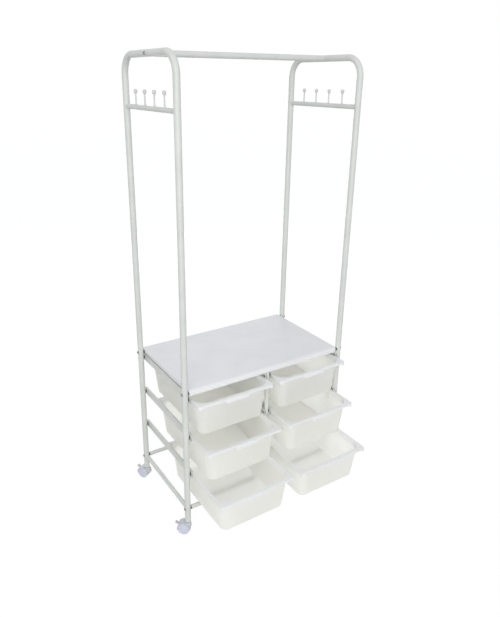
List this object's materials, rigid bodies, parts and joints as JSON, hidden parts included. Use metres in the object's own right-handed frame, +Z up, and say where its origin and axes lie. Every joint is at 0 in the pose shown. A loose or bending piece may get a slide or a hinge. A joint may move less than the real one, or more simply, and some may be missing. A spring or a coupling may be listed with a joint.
{
  "type": "rolling open wardrobe",
  "caption": "Open-front clothes rack on casters: steel hoop frame with hanging rail, side pegs, a shelf and pull-out plastic drawers.",
  "frame": {"origin": "on the floor, in the middle between the four uprights", "axes": "+X to the right, +Z up, and the drawers pull out towards -Y"},
  "size_m": [0.7523, 0.6398, 1.6841],
  "materials": {
    "frame_paint": "satin warm white powder coat",
    "shelf_plastic": "smooth cool light grey",
    "drawer_plastic": "glossy off-white polypropylene",
    "caster_plastic": "glossy cool white nylon",
    "socket_plastic": "dark grey",
    "washer_rubber": "dark grey",
    "zinc_steel": "zinc plated"
  },
  "bodies": {
    "frame": {"left_upper_hoop": "frame_paint", "right_upper_hoop": "frame_paint", "hanging_rail": "frame_paint", "left_hook_rail": "frame_paint", "right_hook_rail": "frame_paint", "left_hook_pegs": "frame_paint", "right_hook_pegs": "frame_paint", "left_front_leg": "frame_paint", "left_rear_leg": "frame_paint", "right_front_leg": "frame_paint", "right_rear_leg": "frame_paint", "left_side_bar": "frame_paint", "right_side_bar": "frame_paint", "front_low_bar": "frame_paint", "rear_low_bar": "frame_paint", "front_centre_post": "frame_paint", "rear_centre_post": "frame_paint", "shelf_top": "shelf_plastic", "left_outer_top_runner": "frame_paint", "left_outer_middle_runner": "frame_paint", "left_outer_bottom_runner": "frame_paint", "left_inner_top_runner": "frame_paint", "left_inner_middle_runner": "frame_paint", "left_inner_bottom_runner": "frame_paint", "right_inner_top_runner": "frame_paint", "right_inner_middle_runner": "frame_paint", "right_inner_bottom_runner": "frame_paint", "right_outer_top_runner": "frame_paint", "right_outer_middle_runner": "frame_paint", "right_outer_bottom_runner": "frame_paint", "caster_stems": "zinc_steel", "caster_sockets": "socket_plastic", "frame_bolts": "zinc_steel", "rail_bolts": "zinc_steel", "runner_screws": "zinc_steel", "saddle_washers": "washer_rubber"},
    "left_top_drawer": {"left_top_drawer": "drawer_plastic"},
    "left_middle_drawer": {"left_middle_drawer": "drawer_plastic"},
    "left_bottom_drawer": {"left_bottom_drawer": "drawer_plastic"},
    "right_top_drawer": {"right_top_drawer": "drawer_plastic"},
    "right_middle_drawer": {"right_middle_drawer": "drawer_plastic"},
    "right_bottom_drawer": {"right_bottom_drawer": "drawer_plastic"},
    "front_left_caster_swivel": {"front_left_caster_hood": "caster_plastic"},
    "front_left_caster_wheel_pair": {"front_left_caster_wheels": "caster_plastic", "front_left_caster_axle": "zinc_steel"},
    "front_left_brake": {"front_left_brake_pedal": "caster_plastic"},
    "front_right_caster_swivel": {"front_right_caster_hood": "caster_plastic"},
    "front_right_caster_wheel_pair": {"front_right_caster_wheels": "caster_plastic", "front_right_caster_axle": "zinc_steel"},
    "front_right_brake": {"front_right_brake_pedal": "caster_plastic"},
    "rear_left_caster_swivel": {"rear_left_caster_hood": "caster_plastic"},
    "rear_left_caster_wheel_pair": {"rear_left_caster_wheels": "caster_plastic", "rear_left_caster_axle": "zinc_steel"},
    "rear_left_brake": {"rear_left_brake_pedal": "caster_plastic"},
    "rear_right_caster_swivel": {"rear_right_caster_hood": "caster_plastic"},
    "rear_right_caster_wheel_pair": {"rear_right_caster_wheels": "caster_plastic", "rear_right_caster_axle": "zinc_steel"},
    "rear_right_brake": {"rear_right_brake_pedal": "caster_plastic"}
  },
  "joints": [
    {"name": "left_top_drawer_slide", "type": "slide", "parent": "frame", "child": "left_top_drawer", "axis": [0, -1, 0], "range_m": [-0.022, 0.228]},
    {"name": "left_middle_drawer_slide", "type": "slide", "parent": "frame", "child": "left_middle_drawer", "axis": [0, -1, 0], "range_m": [-0.083, 0.167]},
    {"name": "left_bottom_drawer_slide", "type": "slide", "parent": "frame", "child": "left_bottom_drawer", "axis": [0, -1, 0], "range_m": [-0.171, 0.079]},
    {"name": "right_top_drawer_slide", "type": "slide", "parent": "frame", "child": "right_top_drawer", "axis": [0, -1, 0], "range_m": [-0.022, 0.228]},
    {"name": "right_middle_drawer_slide", "type": "slide", "parent": "frame", "child": "right_middle_drawer", "axis": [0, -1, 0], "range_m": [-0.083, 0.167]},
    {"name": "right_bottom_drawer_slide", "type": "slide", "parent": "frame", "child": "right_bottom_drawer", "axis": [0, -1, 0], "range_m": [-0.171, 0.079]},
    {"name": "front_left_caster_swivel_turn", "type": "hinge", "parent": "frame", "child": "front_left_caster_swivel", "pos_m": [-0.345, -0.188, 0.0505], "axis": [0, 0, 1], "continuous": true},
    {"name": "front_left_wheel_spin", "type": "hinge", "parent": "front_left_caster_swivel", "child": "front_left_caster_wheel_pair", "pos_m": [-0.35649, -0.17836, 0.022], "axis": [-0.6428, -0.766, 0], "continuous": true},
    {"name": "front_left_brake_press", "type": "hinge", "parent": "front_left_caster_swivel", "child": "front_left_brake", "pos_m": [-0.36412, -0.17196, 0.03036], "axis": [-0.6428, -0.766, 0], "range_deg": [0, 22]},
    {"name": "front_right_caster_swivel_turn", "type": "hinge", "parent": "frame", "child": "front_right_caster_swivel", "pos_m": [0.345, -0.188, 0.0505], "axis": [0, 0, 1], "continuous": true},
    {"name": "front_right_wheel_spin", "type": "hinge", "parent": "front_right_caster_swivel", "child": "front_right_caster_wheel_pair", "pos_m": [0.33351, -0.17836, 0.022], "axis": [-0.6428, -0.766, 0], "continuous": true},
    {"name": "front_right_brake_press", "type": "hinge", "parent": "front_right_caster_swivel", "child": "front_right_brake", "pos_m": [0.32588, -0.17196, 0.03036], "axis": [-0.6428, -0.766, 0], "range_deg": [0, 22]},
    {"name": "rear_left_caster_swivel_turn", "type": "hinge", "parent": "frame", "child": "rear_left_caster_swivel", "pos_m": [-0.345, 0.188, 0.0505], "axis": [0, 0, 1], "continuous": true},
    {"name": "rear_left_wheel_spin", "type": "hinge", "parent": "rear_left_caster_swivel", "child": "rear_left_caster_wheel_pair", "pos_m": [-0.3525, 0.20099, 0.022], "axis": [-0.866, -0.5, 0], "continuous": true},
    {"name": "rear_left_brake_press", "type": "hinge", "parent": "rear_left_caster_swivel", "child": "rear_left_brake", "pos_m": [-0.35748, 0.20961, 0.03036], "axis": [-0.866, -0.5, 0], "range_deg": [0, 22]},
    {"name": "rear_right_caster_swivel_turn", "type": "hinge", "parent": "frame", "child": "rear_right_caster_swivel", "pos_m": [0.345, 0.188, 0.0505], "axis": [0, 0, 1], "continuous": true},
    {"name": "rear_right_wheel_spin", "type": "hinge", "parent": "rear_right_caster_swivel", "child": "rear_right_caster_wheel_pair", "pos_m": [0.3375, 0.20099, 0.022], "axis": [-0.866, -0.5, 0], "continuous": true},
    {"name": "rear_right_brake_press", "type": "hinge", "parent": "rear_right_caster_swivel", "child": "rear_right_brake", "pos_m": [0.33252, 0.20961, 0.03036], "axis": [-0.866, -0.5, 0], "range_deg": [0, 22]}
  ]
}
